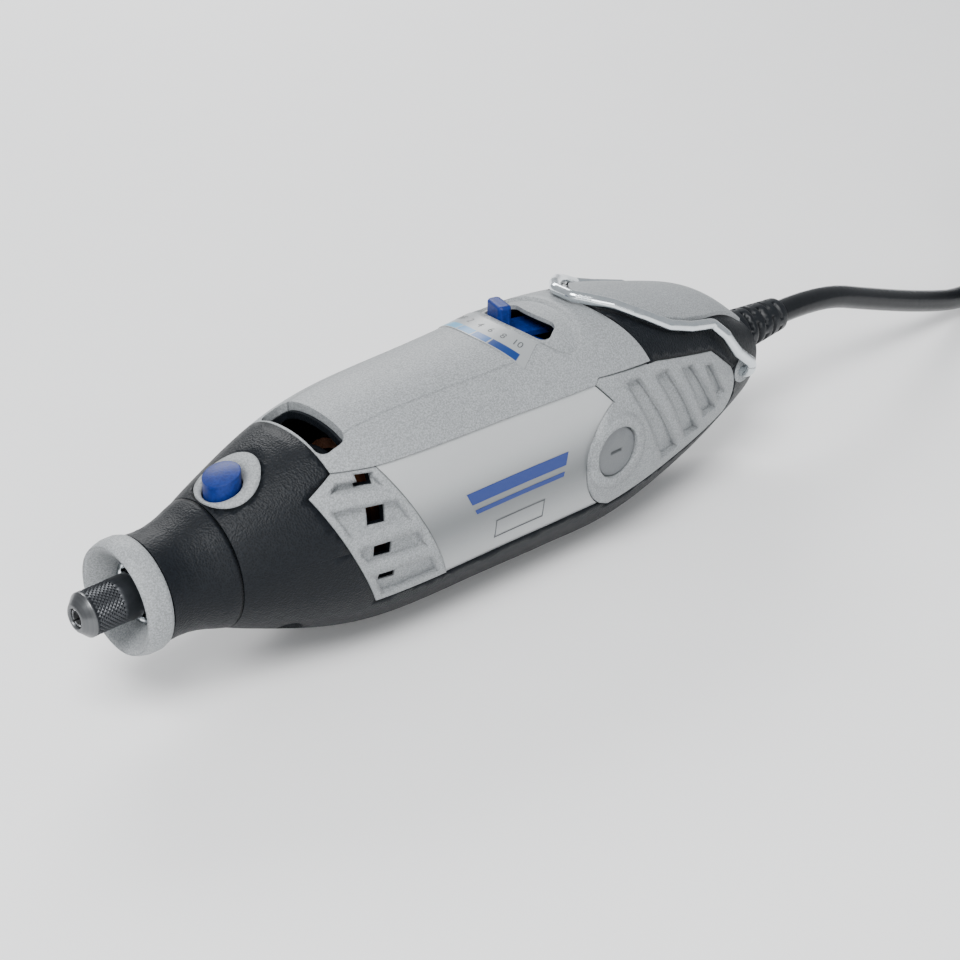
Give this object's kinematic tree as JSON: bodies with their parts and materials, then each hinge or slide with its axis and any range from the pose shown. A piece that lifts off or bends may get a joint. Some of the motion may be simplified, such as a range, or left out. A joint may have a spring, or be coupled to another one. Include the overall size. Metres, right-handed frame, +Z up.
{
  "type": "rotary hobby tool",
  "caption": "Corded rotary hobby tool with collet nose, spindle lock button, speed lever, side vents and hanger bail.",
  "frame": {"origin": "middle of the tool without its cord, on the surface that the belly rests on", "axes": "+Z up; +X from the collet to the cord along the motor axis; +Y to the tool's right side"},
  "size_m": [0.565, 0.0566, 0.061],
  "materials": {
    "grey_plastic": "fine spark-textured light grey plastic",
    "black_plastic": "leather-grained charcoal plastic",
    "silver_plate": "satin silver foil plate with blue bars",
    "blue_plastic": "satin blue plastic",
    "cap_plastic": "mid grey plastic",
    "black_steel": "black oxide steel",
    "bright_steel": "polished steel",
    "machined_steel": "turned steel",
    "copper": "enamelled copper",
    "brass": "plain brass",
    "carbon": "dull carbon",
    "core_steel": "laminated electrical steel",
    "circuit_board": "green board",
    "black_rubber": "smooth black rubber"
  },
  "bodies": {
    "housing": {"upper_shell": "black_plastic", "lower_shell": "black_plastic", "top_cover": "grey_plastic", "scale_label": "silver_plate", "rear_hood": "grey_plastic", "lock_bezel": "grey_plastic", "nose_housing": "black_plastic", "front_bearing_outer": "machined_steel", "front_bearing_balls": "bright_steel", "rear_bearing_outer": "machined_steel", "rear_bearing_balls": "bright_steel", "bearing_sleeve": "black_rubber", "rear_bracket": "black_plastic", "stator_core": "core_steel", "upper_field_coil": "copper", "lower_field_coil": "copper", "lock_spring": "bright_steel", "lever_pin": "machined_steel", "speed_board": "circuit_board", "lever_guide": "blue_plastic", "capacitor": "cap_plastic", "hanger_bushes": "grey_plastic", "cord_guard": "black_rubber", "inner_lead": "black_rubber", "cord_clamp": "cap_plastic", "clamp_screws": "bright_steel", "housing_screws": "bright_steel", "cord": "black_rubber", "cord_hank": "black_rubber", "cord_tail": "black_rubber", "plug": "black_rubber", "plug_pins": "brass", "left_vent_grille": "grey_plastic", "left_name_plate": "silver_plate", "left_grip_panel": "grey_plastic", "left_carbon_brush": "carbon", "right_vent_grille": "grey_plastic", "right_name_plate": "silver_plate", "right_grip_panel": "grey_plastic", "right_carbon_brush": "carbon", "brush_holders": "brass", "brush_springs": "bright_steel"},
    "rotor": {"spindle": "machined_steel", "collet": "machined_steel", "lock_collar": "machined_steel", "front_bearing_inner": "machined_steel", "rear_bearing_inner": "machined_steel", "cooling_fan": "cap_plastic", "armature_core": "core_steel", "armature_windings": "copper", "commutator": "copper"},
    "nut": {"collet_nut": "black_steel"},
    "cap": {"nose_cap": "grey_plastic", "wrench_insert": "bright_steel"},
    "lock": {"lock_button": "blue_plastic", "lock_pin": "machined_steel"},
    "lever": {"speed_lever": "blue_plastic"},
    "bail": {"hanger_bail": "bright_steel"},
    "left_cap": {"left_brush_cap": "cap_plastic"},
    "right_cap": {"right_brush_cap": "cap_plastic"}
  },
  "joints": [
    {"name": "rotor_spin", "type": "hinge", "parent": "housing", "child": "rotor", "pos_m": [-0.0305, 0, 0.0284], "axis": [-1, 0, 0], "continuous": true},
    {"name": "nut_turn", "type": "hinge", "parent": "rotor", "child": "nut", "pos_m": [-0.1035, 0, 0.0284], "axis": [-1, 0, 0], "range_deg": [0, 720]},
    {"name": "cap_pull", "type": "slide", "parent": "housing", "child": "cap", "axis": [-1, 0, 0], "range_m": [0, 0.012]},
    {"name": "lock_press", "type": "slide", "parent": "housing", "child": "lock", "axis": [0, 0, -1], "range_m": [0, 0.003], "stiffness_N_per_m": 600, "springref_m": -0.0015, "deforming": ["lock_spring"]},
    {"name": "speed_turn", "type": "hinge", "parent": "housing", "child": "lever", "pos_m": [0.0325, 0, 0.0524], "axis": [0, 0, 1], "range_deg": [0, 29]},
    {"name": "bail_swing", "type": "hinge", "parent": "housing", "child": "bail", "pos_m": [0.078, 0, 0.0284], "axis": [0, 1, 0], "range_deg": [0, 120]},
    {"name": "left_cap_pull", "type": "slide", "parent": "housing", "child": "left_cap", "axis": [0, -1, 0], "range_m": [0, 0.008]},
    {"name": "right_cap_pull", "type": "slide", "parent": "housing", "child": "right_cap", "axis": [0, 1, 0], "range_m": [0, 0.008]}
  ]
}
